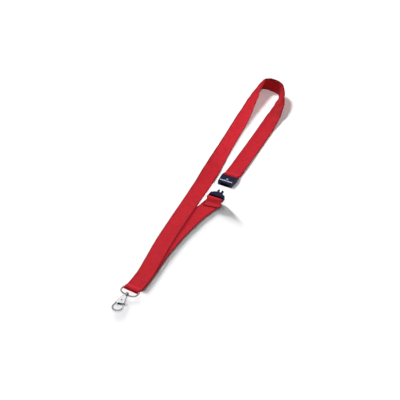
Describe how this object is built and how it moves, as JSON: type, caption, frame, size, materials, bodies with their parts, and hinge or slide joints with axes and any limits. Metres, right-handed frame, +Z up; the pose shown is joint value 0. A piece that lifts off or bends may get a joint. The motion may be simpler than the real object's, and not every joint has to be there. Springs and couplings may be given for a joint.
{
  "type": "lanyard",
  "caption": "Flat woven neck lanyard with a plug-in safety release, a D-loop and a swivelling trigger snap hook, laid out folded with its loop on edge.",
  "frame": {"origin": "centre of the bounding box's base, on the surface that the lanyard lies on", "axes": "+Y along the folded lanyard from the hook to the neck loop's far end, +Z up"},
  "size_m": [0.0484, 0.4438, 0.02],
  "materials": {
    "webbing": "ribbed woven polyester, soft sheen",
    "thread": "twisted polyester thread",
    "moulding": "satin black moulding",
    "plating": "bright nickel plate",
    "spring_steel": "drawn spring wire"
  },
  "bodies": {
    "strap": {"neck_strap": "webbing", "ring_fold": "webbing", "release_strap": "webbing", "release_tail": "webbing", "ring_seam": "thread", "tail_seam": "thread", "male_half": "moulding"},
    "female_half": {"female_half": "moulding", "neck_strap_end": "webbing", "end_seam": "thread"},
    "d_loop": {"d_loop": "plating"},
    "hook": {"hook_body": "plating", "swivel_post": "plating", "trigger_pin": "plating", "trigger_spring": "spring_steel"},
    "trigger": {"trigger": "plating"}
  },
  "joints": [
    {"name": "release_slide", "type": "slide", "parent": "strap", "child": "female_half", "axis": [0.0541, -0.9985, 0], "range_m": [0, 0.0168]},
    {"name": "d_loop_swing", "type": "hinge", "parent": "strap", "child": "d_loop", "pos_m": [-0.007, -0.18402, 0.0028], "axis": [0.9925, -0.1219, 0], "range_deg": [-100, 100]},
    {"name": "hook_swivel", "type": "hinge", "parent": "d_loop", "child": "hook", "pos_m": [-0.00827, -0.19434, 0.0028], "axis": [0, 1, 0], "continuous": true},
    {"name": "trigger_press", "type": "hinge", "parent": "hook", "child": "trigger", "pos_m": [-0.00827, -0.20524, 0.0028], "axis": [0, 0, -1], "range_deg": [0, 25], "stiffness_Nm_per_rad": 0.02, "springref_deg": -20.05, "deforming": ["trigger_spring"]}
  ]
}
